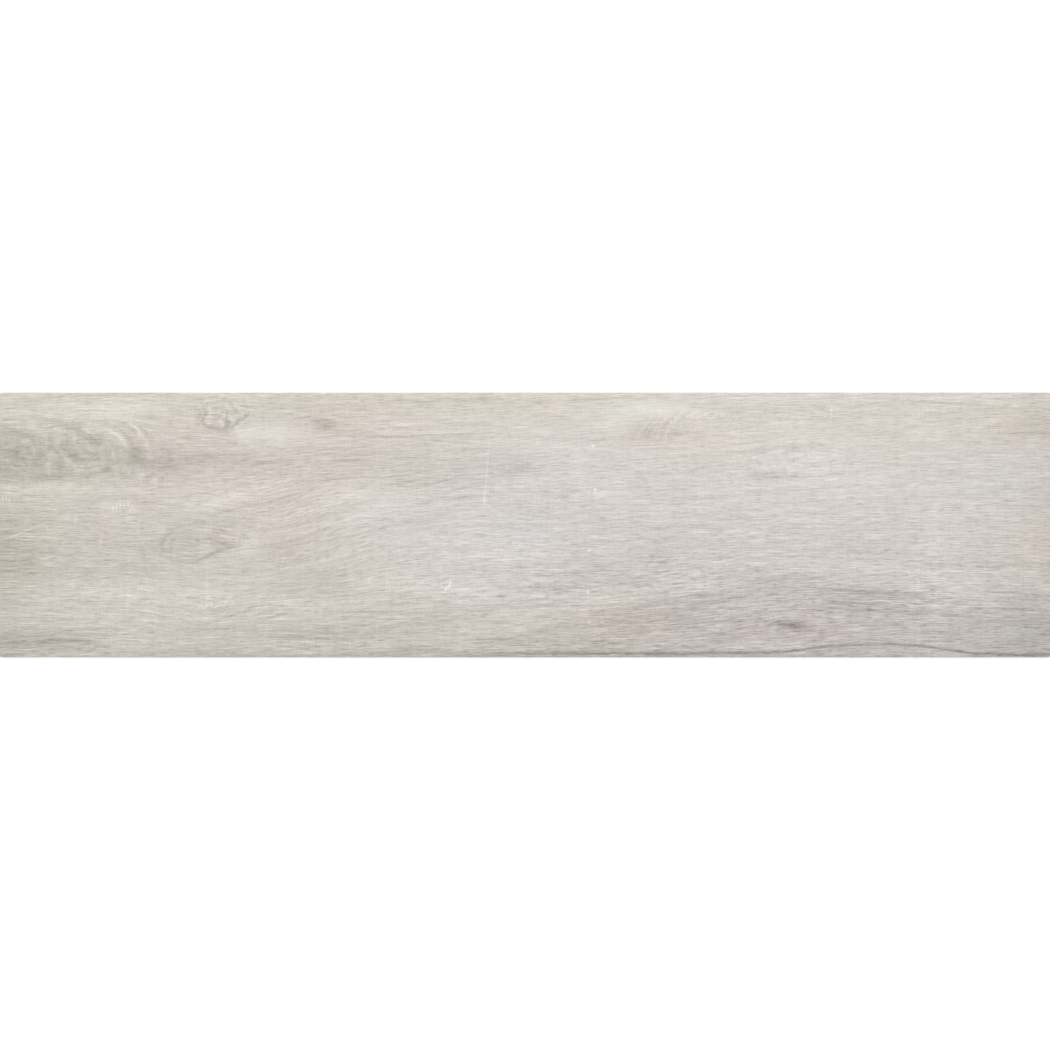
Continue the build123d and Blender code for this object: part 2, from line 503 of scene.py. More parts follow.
# The figure's soft patches: x, y, half length, half width, turn, grey levels
printTones = {
    "leftStrip": (-404, -20, 24, 90, 0, -8),
    "leftThird": (-330, -15, 130, 50, 0, -4.5),
    "upperRight": (200, 50, 240, 66, 0, 10),
    "middleBright": (-88, -22, 40, 22, 0, 5),
    "cornerLeftWide": (-385, -60, 40, 40, 0, -5),
    "lowLeftBand": (-190, -84, 220, 8, 0, -8),
    "footBand": (0, -101, 600, 5, 0, -7),
    "footMiddle": (65, -97, 80, 6, 0, -6),
    "rightStrip": (404, 10, 16, 60, 0, -7),
    "paleBandLeft": (-165, 22, 100, 11, 4, 6),
    "paleMiddleHigh": (0, 66, 50, 26, 0, 4),
    "paleMiddleStep": (62, 24, 18, 12, 0, 5),
    "darkUnderOval": (-165, -46, 28, 9, 0, -5),
    "darkByArch": (370, -52, 26, 7, 0, -6),
    "eyeRight": (-300, 52, 30, 12, 0, -9),
    "eyeUnder": (-372, 36, 34, 5, 0, -8),
    "lowRings": (99, -30, 16, 10, 0, -5),
    "raggedKnot": (-231, 80, 17, 9, 0, -4),
    "eyeDark": (-366, 54, 52, 17, 0, -21),
    "eyeCore": (-399, 50, 24, 21, 0, -11),
    "eyeTail": (-244, 48, 80, 9, 0, -9),
    "eyeTailFar": (-95, 48, 76, 9, 0, -5),
    "paleAboveEye": (-317, 89, 42, 7, 0, 13),
    "paleUnderEye": (-286, 27, 92, 5, 0, 6),
    "paleByKnot": (-201, 70, 26, 8, 0, 15),
    "leftEdge": (-396, -21, 26, 22, 0, -14),
    "ovalKnot": (-252, -13, 34, 10, 4, -6),
    "ovalInside": (-231, -10, 11, 8, 20, -8),
    "paleByOval": (-210, -15, 12, 9, 0, 13),
    "bandByOval": (-317, -15, 61, 9, 0, -4),
    "paleLowLeft": (-320, -51, 90, 7, 0, 7),
    "cornerLowLeft": (-374, -88, 46, 9, 0, -12),
    "darkLowMiddle": (-118, -78, 66, 10, 0, -7),
    "underOval": (-157, -38, 31, 14, 0, -5),
    "paleWedge": (-116, 12, 33, 10, 12, 7),
    "paleMiddle": (-23, -11, 42, 27, 0, 6),
    "smudgeMiddle": (-4, 44, 19, 7, 8, -9),
    "topBand": (-134, 93, 115, 5, 0, -4),
    "brightPatch": (97, 88, 30, 7, 0, 16),
    "brightArm": (71, 74, 9, 9, 20, 12),
    "brownPatch": (97, 70.5, 22, 7.5, 4, -18),
    "smudgeRight": (183, 37, 17, 4.5, -6, -8),
    "paleRight": (225, 42, 56, 30, 0, 3.5),
    "paleFarRight": (309, 71, 15, 6, 0, 5),
    "topRight": (390, 76, 26, 19, 0, -8),
    "cornerLowRight": (390, -88, 34, 24, 0, -13),
    "lowSmudge": (86, -72, 30, 9, 0, -7),
    "lowDark": (27, -46, 19, 9, 0, -6),
    "paleColumn": (317, -27, 19, 46, 0, 4),
    "paleCheck": (-42, -46, 36, 6, 0, 9),
    "paleByArch": (346, -54, 15, 4.5, 0, 7),
    "paleUnderCore": (-372, 28, 34, 5, 0, 9),
    "darkAboveRings": (74, -42, 28, 6, 0, -7),
    "rightLow": (384, -28, 22, 8, 0, -6),
    "bandLeftLow": (-350, -35, 64, 6, 0, -7),
    "darkByOval": (-192, -19, 22, 9, 0, -6),
    "darkUnderEye": (-290, 31, 34, 5, 0, -6),
    "darkStep": (-66, 35, 40, 6, 0, -6),
    "darkRising": (-190, 14, 34, 5, 12, -5),
    "topEdgeRight": (250, 99, 250, 4, 0, 6),
    "topEdgeMiddle": (-160, 99, 90, 4, 0, 5),
    "paleLowLeftFoot": (-340, -99, 60, 4, 0, 7),
    "paleTopMiddle": (-96, 80, 40, 6, 0, 4),
    "paleArch": (250, -33, 60, 8, 0, 3),
    "paleWedgeLow": (-112, -8, 36, 9, 0, 4),
    "paleLowLeftFar": (-292, -62, 30, 7, 0, 5),
    "darkUnderWedge": (-134, -12, 20, 9, 0, -6),
    "darkUnderTail": (-262, 43, 20, 10, 0, -5),
    "darkRightFar": (300, -30, 16, 12, 0, -3),
    "paleStep": (10, -20, 30, 10, 0, 4),
    "paleFootMiddle": (-24, -84, 36, 5, 0, 6),
    "darkArchEnd": (308, -51, 18, 5, 0, -6),
    "darkUnderFeathers": (140, 48, 40, 10, 0, -4),
    "darkRightHigh": (262, 60, 24, 8, 0, -4),
    "topEdgeFar": (346, 93, 56, 6, 0, 5),
    "paleLowCorner": (-296, -84, 24, 8, 0, 5),
    "paleTopByKnot": (-207, 95, 20, 6, 0, 5),
    "darkUnderStrip": (-368, 3, 32, 8, 0, -4),
    "paleUnderSmudge": (6, 30, 26, 5, 0, 4),
}

# Drawn strokes: x, y, half length, half width, turn, bend if any, grey levels
printStrokes = {
    "eyeArcPale": (-308.6, 66.5, 10, 1.7, -45, -1.6, 24),
    "eyeArcOuter": (-295.6, 71.8, 10, 1.2, -50, -1.2, 17),
    "eyeArcDark": (-303, 67.5, 10, 1.2, -48, -1.4, -13),
    "eyeArcDarkFar": (-290, 70, 9, 1.2, -50, -1.2, -9),
    "eyeArcDarkNear": (-316, 63, 9, 1.3, -48, -1.6, -11),
    "eyeArcFaint": (-284, 70, 9, 1.6, -48, -1.4, 7),
    "eyeArcInner": (-321, 61, 11, 1.5, -52, -2.4, 6),
    "eyeRimLow": (-315.4, 43.5, 8, 1.9, 38, 1.4, -15),
    "eyeRimHigh": (-337, 71, 10, 1.5, -22, -1.2, -17),
    "eyeRimTop": (-351, 75.5, 9, 1.2, -14, -0.8, -12),
    "eyeSpotTop": (-340, 74.5, 5, 2.6, -10, -15),
    "eyeSpotInner": (-328, 63.5, 6, 3, -16, -19),
    "eyeSpotFoot": (-362, 36, 12, 3, 4, -9),
    "eyePaleInner": (-378, 62, 10, 2.2, -30, -1.5, 8),
    "eyeSpotHigh": (-328, 65, 6, 4, -20, -10),
    "eyeSpotMiddle": (-341, 52.5, 9, 4.5, 0, -9),
    "eyeSpotRight": (-296, 53.5, 6.5, 6, 0, -21),
    "eyeSpotLow": (-357, 38, 14, 3.5, 0, -8),
    "coreRim": (-391, 73, 10, 2.2, -18, -2, -16),
    "coreArcPale": (-371, 73, 12, 1.5, -38, -2.2, 6),
    "coreArcPaleLow": (-365, 66, 9, 1.2, -50, -1.5, 5),
    "tailStart": (-276, 46, 18, 2.2, -2, -10),
    "ovalRimLeft": (-275.5, -11, 9, 1.6, 60, -2.6, -19),
    "ovalRimTop": (-259.7, 0.8, 12, 1.2, 17, -0.6, -9),
    "ovalRimRight": (-228, -18.3, 11, 1.5, 19, 0.6, -19),
    "ovalRimLow": (-266.6, -27.5, 10, 1.3, -14, 1, -15),
    "ovalRimLowFar": (-238, -22, 10, 1.2, 24, 0.8, -13),
    "ovalEdge": (-219, -8, 9, 1.6, 78, 0.8, 6),
    "ovalInnerLeft": (-269, -12, 6, 1.2, 62, -1.6, -8),
    "ovalRimFar": (-216.5, -11, 8, 1.2, 76, 0.8, -8),
    "ovalSpot": (-246, 3.2, 4, 1.2, -8, -13),
    "smallKnotHead": (-160, 79, 6, 2.2, -4, -15),
    "smallKnotBody": (-152, 76.6, 6, 4.4, -12, -29),
    "smallKnotTail": (-169, 81, 9, 1.6, 4, -10),
    "raggedRimLow": (-238.3, 74.8, 5.5, 2.2, -6, -29),
    "raggedRimLeft": (-244.4, 85.5, 7, 1.4, 84, 1.6, -19),
    "raggedRimMiddle": (-231, 73.4, 5, 1.6, 8, -24),
    "raggedWedge": (-227.4, 77.6, 2.4, 5.2, 8, -28),
    "raggedV": (-221, 76.5, 5, 1.2, 52, 0.5, -26),
    "raggedArm": (-215.5, 81.4, 5, 1.3, 26, 0.5, -20),
    "raggedDot": (-212.3, 83.4, 2, 1.6, 0, -24),
    "raggedSwirl": (-222, 90, 8, 1.1, -58, -1.6, -12),
    "raggedSwirlPale": (-226, 89, 7, 1.3, -58, -1.6, 7),
    "raggedCrest": (-236, 93, 4, 1.2, 30, -1.2, -8),
    "raggedRimFar": (-249, 82, 6, 1.1, 78, 1.4, -9),
    "raggedPaleLeft": (-241, 86, 5, 1.4, 80, 1.2, 13),
    "raggedPaleRight": (-217, 88, 6, 1.2, -60, -1.2, 8),
    "raggedInner": (-235, 88, 4, 1.1, 30, -0.8, -12),
    "raggedGlow": (-234, 85, 6, 5, 0, 9),
    "smudgeCore": (-11, 39.6, 9, 1.7, 4, -9),
    "smudgeTop": (-4, 50, 12, 1.3, 4, -6),
    "tailKnot": (-118, 55, 22, 2, 0, -7),
    "bowTie": (205, -77.5, 19, 2.6, -13, -27),
    "bowTieHead": (197, -75.5, 8, 3, -4, -12),
    "archDark": (266, -51.8, 24, 2.6, -1, -4),
    "archDarkLow": (262, -60.5, 20, 2, 0, -4),
    "archStart": (140, -53, 18, 1.6, 10, -12),
    "archStartLow": (150, -58, 14, 1.3, 6, -8),
    "archRight": (330, -56, 20, 1.6, -6, -9),
    "archFarRight": (380, -56, 18, 1.8, 2, -10),
    "archPeak": (190, -42, 26, 1.6, 4, -1.5, -3),
    "smudgeRightCore": (181, 36.6, 9, 1.6, 0, -8),
    "lowRingLeft": (97, -26, 6, 1, 60, 0.8, -14),
    "lowRingRight": (104, -29, 8, 0.9, 30, 0.8, -12),
    "featherA": (90, 74, 7, 0.6, 56, -0.4, 14),
    "featherB": (97, 76.5, 8, 0.6, 53, -0.4, 16),
    "featherC": (105, 79, 9, 0.6, 48, -0.5, 16),
    "featherD": (114, 81, 10, 0.6, 42, -0.6, 15),
    "featherE": (125, 83, 11, 0.6, 33, -0.6, 14),
    "featherF": (137, 84, 12, 0.6, 25, -0.6, 13),
    "featherG": (101, 68, 7, 0.6, 58, -0.3, 14),
    "featherH": (109, 71.5, 8, 0.6, 54, -0.4, 14),
    "featherDarkA": (94, 74, 7, 0.7, 56, -0.4, -12),
    "featherDarkB": (109.5, 78, 8, 0.7, 50, -0.5, -12),
    "featherDarkC": (121, 81, 9, 0.7, 38, -0.5, -11),
    "eyeArcMiddle": (-331, 70, 11, 1.1, -38, -1.8, 12),
    "eyeArcMiddleDark": (-335, 66.5, 10, 1.1, -38, -1.8, -12),
    "eyeArcLow": (-313, 53, 9, 1.1, -78, -1.6, 10),
    "eyeArcLowDark": (-317.5, 51, 7, 1.5, -82, -1.2, -8),
    "eyeArcFar": (-288, 62, 10, 1.1, -68, -1.6, 10),
    "eyeRimFoot": (-324, 41, 8, 1.5, 20, 0.6, -8),
    "coreRimRight": (-375, 63, 9, 1.4, -66, -1.6, -10),
    "tailArcA": (-292, 35, 6, 1, -76, -1.4, 11),
    "tailArcB": (-282, 36, 7, 1, -72, -1.6, 10),
    "tailArcC": (-271, 38, 7, 1, -68, -1.6, 9),
    "tailArcDarkA": (-287, 35.5, 6, 1, -74, -1.4, -11),
    "tailArcDarkB": (-276.5, 37, 6, 1, -70, -1.5, -10),
    "tailJag": (-271, 52, 6, 2.2, 84, 0.6, -12),
    "raggedRimStart": (-245, 78, 4, 1.4, -50, 0.6, -20),
    "raggedRing": (-242, 92, 3, 1.2, 60, 0.6, -12),
    "raggedTop": (-213, 93, 3, 1, -50, -0.6, -8),
    "raggedPaleMiddle": (-228, 85, 4, 2, 70, 0.8, 12),
    "eyeTopArc": (-346, 78.5, 14, 1.2, -8, -1.4, -9),
    "eyeTopPale": (-352, 81.5, 14, 1.2, -6, -1.4, 8),
    "ovalRimFoot": (-248.5, -26.5, 9, 1.3, 22, 0.4, -17),
}

# Long thin lines, which waver a little: the same values
printLines = {
    "middleLine": (-96, 31.5, 26, 0.9, 8, 1, -15),
    "risingLine": (-166, 20, 26, 0.9, 17, 1.5, -15),
    "risingLineLow": (-172, 6, 24, 0.9, 17, 0.5, -10),
    "risingPale": (-150, 14, 36, 1.3, 18, 1.5, 7),
    "knotLine": (-108, 67.4, 30, 0.9, -1, -17),
    "knotLineFar": (-52, 69, 28, 0.8, 2, 0.6, -16),
    "topLine": (-20, 96, 60, 1.3, 0.6, -7),
    "lowLine": (-103, -66.5, 58, 1, -1, -13),
    "lowLineDark": (-62, -69.5, 24, 0.9, -2, -17),
    "footLineLeft": (-386, -89.4, 22, 1, 1, -17),
    "footLineMain": (-346, -87.6, 20, 1.2, -3, -1, -24),
    "footLineRight": (-318, -93.6, 13, 1, -11, -12),
    "footLineUnder": (-392, -93.5, 14, 0.9, 0, -10),
    "footLineMiddle": (-180, -86.5, 30, 1.2, -1, -7),
    "archStreakA": (300, -67, 26, 0.9, -4, -12),
    "archStreakB": (372, -64, 24, 0.9, -3, -13),
    "archStreakC": (250, -64, 28, 0.9, -2, -12),
    "rightLine": (360, -31.5, 18, 0.8, 3, -15),
    "rightLineTop": (378, 70, 30, 0.8, -1, -14),
    "dashMiddle": (38, 26, 7.5, 1.3, 1, -15),
    "smallKnotLine": (-137, 71.5, 13, 1.2, -6, -7),
    "archDash": (340, -62, 15, 1.1, -19, -13),
    "underEyeArc": (-290, 36, 16, 1.2, 28, 1.5, -7),
    "underEyeArcNear": (-276, 37, 12, 1.2, 30, 1.5, -6),
    "underEyeArcPale": (-283, 34, 14, 1.3, 30, 1.5, 7),
    "tailHigh": (-258, 56.5, 28, 2.2, 0, -6),
    "tailDashLeft": (-134, 49.5, 14, 0.9, 0, -21),
    "tailDashRight": (-95, 51, 12, 0.8, 0, -18),
    "tailLineLow": (-150, 34, 24, 0.8, 6, -15),
    "middleRise": (-46, 28, 22, 0.7, 8, -16),
    "middleRiseHigh": (-64, 33, 18, 0.7, 14, 0.8, -16),
    "lowWave": (-88, -72, 44, 0.8, -1, 0.8, -14),
    "lowWaveFar": (-172, -86, 30, 0.8, -2, -15),
    "footWave": (-29, -87, 28, 0.8, 1, -17),
    "archLineLow": (60, -60.5, 24, 0.8, 3, -14),
    "archLineMiddle": (110, -60, 28, 0.9, 6, -0.8, -17),
    "archLineHigh": (130, -53.5, 16, 0.8, 2, -16),
    "rightPale": (284, -36, 60, 0.8, 0, 6),
    "rightPaleLow": (250, -47, 70, 0.9, -1, 7),
    "rightPaleFar": (352, -62, 40, 0.8, 0, 7),
    "topPale": (-60, 71, 60, 0.9, 1, 5),
    "knotLineUnder": (-62, 64, 22, 0.8, -4, -13),
    "risingLineHigh": (-172, 28, 24, 0.8, 15, 1.2, -12),
    "archLineTop": (160, -40, 20, 0.8, 6, -0.6, -13),
    "archTopDark": (196, -39.5, 20, 1.1, 0, -0.8, -10),
    "archStreakD": (244, -49.5, 28, 0.8, -4, -14),
    "archStreakE": (372, -52, 22, 0.8, -3, -14),
    "rightLineMiddle": (232, 38, 26, 0.7, 6, -10),
    "ringsLine": (96, -24, 12, 0.7, 10, 0.4, -14),
    "middleDark": (40, -36, 40, 0.8, 6, -12),
    "middleDarkLow": (62, -46, 36, 0.8, 5, -12),
    "eyeTailLine": (-230, 54, 26, 0.8, 2, -13),
    "leftLow": (-330, -80, 40, 0.8, 2, -10),
    "leftLowRise": (-200, -72, 22, 0.8, 14, 1, -13),
    "flowA": (-196, 17, 36, 1.8, 15, 2, -7),
    "flowB": (-176, 18, 44, 1.8, 16, 2, 7),
    "flowC": (-150, 8, 44, 1.6, 17, 2, -7),
    "flowD": (-142, 2, 40, 1.6, 16, 1.6, 6),
    "flowE": (-168, -9, 24, 1.5, 24, 1.2, -7),
    "flowF": (-120, -6, 34, 1.6, 12, 1, -6),
    "flowG": (-186, -31, 26, 1.6, 14, 1, -6),
    "flowH": (-150, -26, 26, 1.5, 20, 1.2, 6),
    "flowI": (-66, 14, 40, 1.5, 8, 1, 6),
    "flowJ": (-60, 19, 40, 1.3, 8, 1, -7),
    "flowK": (-232, -64, 34, 1.6, 9, 1, -6),
    "flowL": (-224, -58, 34, 1.6, 10, 1, 6),
    "flowM": (30, 60, 50, 1.5, -3, -1, 6),
    "flowN": (20, 66, 50, 1.3, -3, -1, -6),
    "flowO": (188, 58, 40, 1.6, 6, -1.4, -6),
    "flowP": (196, 63, 40, 1.5, 6, -1.4, 6),
    "flowQ": (290, 46, 26, 1.6, -4, -1.6, -7),
    "flowR": (150, 22, 60, 1.4, 4, 0.8, -6),
    "flowS": (160, 27, 60, 1.4, 4, 0.8, 6),
    "footLinePale": (-362, -85.5, 10, 0.7, 8, 12),
    "topLineRight": (44, 95.5, 40, 1, 3, -14),
    "topLineEnd": (378, 88, 22, 1, -8, -12),
    "risingDarkA": (-242, 25, 26, 1, 9.5, 0.6, -13),
    "risingDarkB": (-219.6, 12.6, 20, 1, 16, 0.6, -15),
    "risingPaleA": (-232, 18, 24, 2, 17, 0.6, 10),
    "risingSteep": (-171, 22, 17, 1, 27, 0.8, -14),
    "risingPaleB": (-140, 20, 24, 1.6, 20, 0.8, 9),
    "risingFar": (-94, 38, 22, 0.9, 7, 0.4, -12),
    "lowLeftDark": (-224, -70, 17, 1.1, 18, 0.6, -14),
    "topLineFall": (309, 94, 46, 0.9, -4, -12),
}

# Scratches, saw marks and nicks, which the glaze shows paler: the same values
printMarks = {
    "longScratch": (-29.4, 36.7, 19, 0.65, 84.8, 15),
    "longScratchFoot": (-31, 20, 4, 1.4, 84, 6),
    "checkMark": (-60, -48.6, 3.2, 1.1, 50, 33),
    "checkMarkTop": (-57.3, -45.4, 3, 0.9, 76, 24),
    "dotHigh": (51.9, 60.3, 1.1, 0.8, 0, 33),
    "dotTall": (53.5, 26.7, 1.9, 0.8, 88, 38),
    "dotMiddle": (48.9, -19.1, 1.1, 0.8, 30, 38),
    "dotLow": (48.1, -51.2, 1.2, 0.8, 80, 37),
    "dotFoot": (48.9, -74.1, 1.2, 0.8, 0, 46),
    "dotFootRight": (58.8, -74.1, 1, 0.7, 0, 36),
    "nick": (233.2, 84.6, 5.5, 0.7, 86, 17),
    "hookHigh": (212, 80.4, 2.6, 0.6, 50, 13),
    "hookLow": (211.8, 77.2, 2.4, 0.6, -52, 13),
    "tickEdgeA": (-398.2, 20, 2.8, 0.8, 90, 26),
    "tickEdgeB": (-395.6, 20.6, 2.8, 0.7, 90, 24),
    "tickEdgeC": (-393.2, 19.6, 2.4, 0.7, 90, 22),
    "tickClusterA": (-314, 13.4, 2.6, 0.7, 88, 24),
    "tickClusterB": (-311.4, 14.2, 2.6, 0.8, 84, 26),
    "tickClusterC": (-308.6, 15, 2.6, 0.8, 90, 24),
    "tickClusterD": (-305.6, 14.6, 2.4, 0.7, 86, 22),
    "tickClusterE": (-302.6, 16, 2.4, 0.7, 90, 20),
    "tickClusterF": (-299.8, 13.6, 2, 0.6, 84, 16),
    "tickLeft": (-342.4, 3.6, 3.4, 0.7, 84, 15),
    "tickOval": (-323.6, -12, 3.8, 0.8, 88, 18),
    "chipA": (-184.8, -26.4, 1.6, 0.8, 70, 16),
    "chipB": (-176, -36.8, 2, 0.6, 10, 12),
    "chipC": (-152.8, -7.6, 2, 0.7, 60, 14),
    "chipD": (-118.6, -42.2, 2.2, 0.8, 88, 14),
    "leftScratch": (-385, -6.4, 13, 0.7, 21, 0.4, 24),
    "leftScratchDark": (-377, -4.6, 14, 0.6, 9, -0.4, -13),
    "topScratch": (-113, 92, 6, 0.6, -64, 9),
    "topScratchCurl": (-152.5, 97.6, 4, 0.6, -52, 0.6, 10),
    "sawMarkA": (-303, -52, 17, 1.6, 88, 6),
    "sawMarkB": (-242.5, -42, 44, 1.4, 89.5, 3),
    "sawMarkC": (-122, -38, 12, 1.6, 90, 3),
    "sawMarkD": (-40, 6, 12, 1.2, 88, 3.5),
    "sawMarkE": (24, 12, 70, 1.6, 90, 2.5),
    "sawMarkF": (290, -36, 40, 1.4, 90, 2.5),
    "sawMarkG": (300, -40, 44, 1.2, 90, 2.5),
    "sawMarkH": (313, -34, 46, 1.4, 90, 3),
    "checkMarkFoot": (-62.4, -47.6, 2, 0.9, -20, 28),
    "tickLowA": (-314, 2.4, 2.6, 0.6, 90, 15),
    "tickLowB": (-311.4, 3, 2.6, 0.6, 88, 15),
    "tickLowC": (-308.8, 2.2, 2.4, 0.6, 90, 13),
    "sawMarkI": (-242, -54, 15, 2, 88, 5),
}

# How much redder than blue, as soft patches
printWarmth = {
    "leftHalf": (-250, 30, 190, 130, 0, 4),
    "topLeft": (-401, 95, 60, 20, 0, 4),
    "topBand": (-90, 92, 180, 24, 0, 2.8),
    "topBandRight": (240, 82, 120, 20, 0, 2.4),
    "topRight": (375, 75, 40, 20, 0, 5),
    "rightEdge": (385, -12, 25, 24, 0, 5),
    "brownPatch": (97, 70, 26, 9, 0, 4.5),
    "lowMiddle": (80, -72, 50, 16, 0, 3),
    "ovalInside": (-230, -10, 14, 7, 10, 1.5),
    "brightPatch": (85, 88, 32, 10, 0, -5),
    "paleByKnot": (-200, 71, 25, 8, 0, -5),
    "coolMiddle": (-10, -8, 110, 40, 0, -6),
    "coolRight": (240, 0, 120, 70, 0, -4),
    "coolCorner": (370, -85, 50, 25, 0, -4),
    "coolWedge": (-110, 10, 36, 12, 0, -3),
    "figureWarm": (140, 62, 34, 14, 0, 3),
    "figureWarmFar": (286, 62, 26, 12, 0, 3),
    "coolLowLeft": (-256, -11, 60, 50, 0, -2.4),
    "coolRightEnd": (366, 34, 62, 30, 0, -2.6),
    "coolTopLeft": (-206, 88, 34, 14, 0, -2),
    "coolMiddleHigh": (20, 56, 80, 22, 0, -2),
    "warmMiddle": (74, -26, 36, 26, 0, 2.2),
    "leftEnd": (-398, 20, 30, 100, 0, 1.5),
    "rightEnd": (380, 0, 40, 60, 0, -1.3),
    "topLineWarm": (50, 95.5, 60, 2.4, 3, 6),
}

# How much greener than red and blue
printGreen = {
    "eye": (-365, 48, 50, 22, 0, 2.4),
    "leftEdge": (-395, -20, 26, 24, 0, 2.4),
    "cornerLowLeft": (-385, -92, 36, 14, 0, 2),
    "brightPatch": (90, 90, 34, 9, 0, 1.4),
    "lowRight": (215, -78, 110, 18, 0, -2.8),
    "topLeft": (-380, 85, 90, 30, 0, 1.6),
    "topBand": (-40, 98, 420, 16, 0, 1.5),
    "coolRight": (150, -10, 300, 70, 0, -1.1),
    "rightCornerGreen": (385, 86, 34, 16, 0, 1.2),
    "lowMiddleRed": (150, -30, 70, 30, 0, -0.6),
    "leftGreen": (-380, 10, 40, 90, 0, 0.8),
}

# Where the fibres stand out more, or less, than elsewhere
printContrast = {
    "lowRight": (240, -62, 190, 34, 0, 0.42),
    "brightPatch": (90, 86, 34, 12, 0, -0.4),
    "paleByKnot": (-200, 72, 28, 8, 0, -0.5),
    "eye": (-350, 52, 70, 24, 0, -0.4),
    "topMiddle": (0, 70, 200, 26, 0, -0.2),
    "foot": (0, -98, 600, 14, 0, 0.22),
    "leftMiddle": (-200, -20, 120, 34, 0, -0.14),
    "wedge": (-135, -32, 44, 26, 0, -0.2),
    "topRight": (260, 60, 130, 30, 0, -0.12),
}

# Where blotches with no direction cover the fibres, as round the eye and the knots
printMottle = {
    "eye": (-358, 54, 56, 21, 0, 1),
    "raggedKnot": (-229, 84, 17, 13, 0, 1.2),
    "ovalKnot": (-240, -10, 22, 12, 0, 0.3),
    "rightFigure": (205, 50, 60, 22, 0, 0.45),
    "underEye": (-290, 36, 34, 9, 0, 0.5),
    "wedge": (-130, -30, 50, 24, 0, 0.35),
}

# Short slanting strokes where the fibres come up to the surface
printHatch = {
    "byBrownPatch": (150, 80, 40, 8, 0, 0.6),
    "inBrownPatch": (98, 71, 20, 8, 0, 0.3),
    "topRight": (215, 88, 40, 8, 0, 0.6),
    "lowLeft": (-240, -64, 60, 14, 0, 0.5),
}

# The upper edge of the darker wood along the foot: x, y
footBorder = (
    (-401, -83), (-330, -90), (-200, -93), (-60, -91), (0, -82), (40, -68), (90, -63), (140, -54),
    (196, -39), (250, -46), (300, -52), (340, -62), (370, -56), (401, -53),
)

# The long crack under it: x, y
crackLine = (
    (-401, -101), (-100, -100), (0, -98), (134, -97.8), (202, -96.2), (225, -93.2), (248, -91.7),
    (271, -90.9), (302, -92.4), (325, -95.5), (344, -97.8), (401, -98.5),
)


# The fields that the mesh carries for the print, each with its level where no patch lies
printFields = {
    "printWarmth": (0.0, printWarmth),
    "printGreen": (0.0, printGreen),
    "printContrast": (1.0, printContrast),
    "printMottle": (0.0, printMottle),
    "printHatch": (0.0, printHatch),
}


def levelsColour(tree, levels):
    # three grey levels of 255, as a linear colour
    parts = [calc(tree, "DIVIDE", level, 255.0, clamp=True) for level in levels]
    colour = made(tree, "ShaderNodeCombineColor", {i: part for i, part in enumerate(parts)})
    return made(tree, "ShaderNodeGamma", {"Color": colour, "Gamma": 2.2})


def newMaterial(name):
    material = bpy.data.materials.new(name)
    material.use_nodes = True
    tree = material.node_tree
    shader = tree.nodes["Principled BSDF"]
    position = addNode(tree, "ShaderNodeTexCoord").outputs["Object"]
    return material, tree, shader, position


def belowCurve(tree, place, border):
    # how far each point lies below a line that is drawn along the plank, in mm
    spanX, spanY = 2 * halfLength / mm, 2 * halfWidth / mm
    x, y = split(tree, place)[:2]
    along = timesPlus(tree, x, 1 / spanX, 0.5)
    curve = addNode(tree, "ShaderNodeFloatCurve", {"Value": along})
    points = curve.mapping.curves[0].points
    while len(points) < len(border):
        points.new(0.5, 0.5)
    for point, (borderX, borderY) in zip(points, border):
        point.location = (borderX / spanX + 0.5, borderY / spanY + 0.5)
    curve.mapping.update()
    height = timesPlus(tree, curve.outputs[0], spanY, -spanY / 2)
    return minus(tree, height, y)


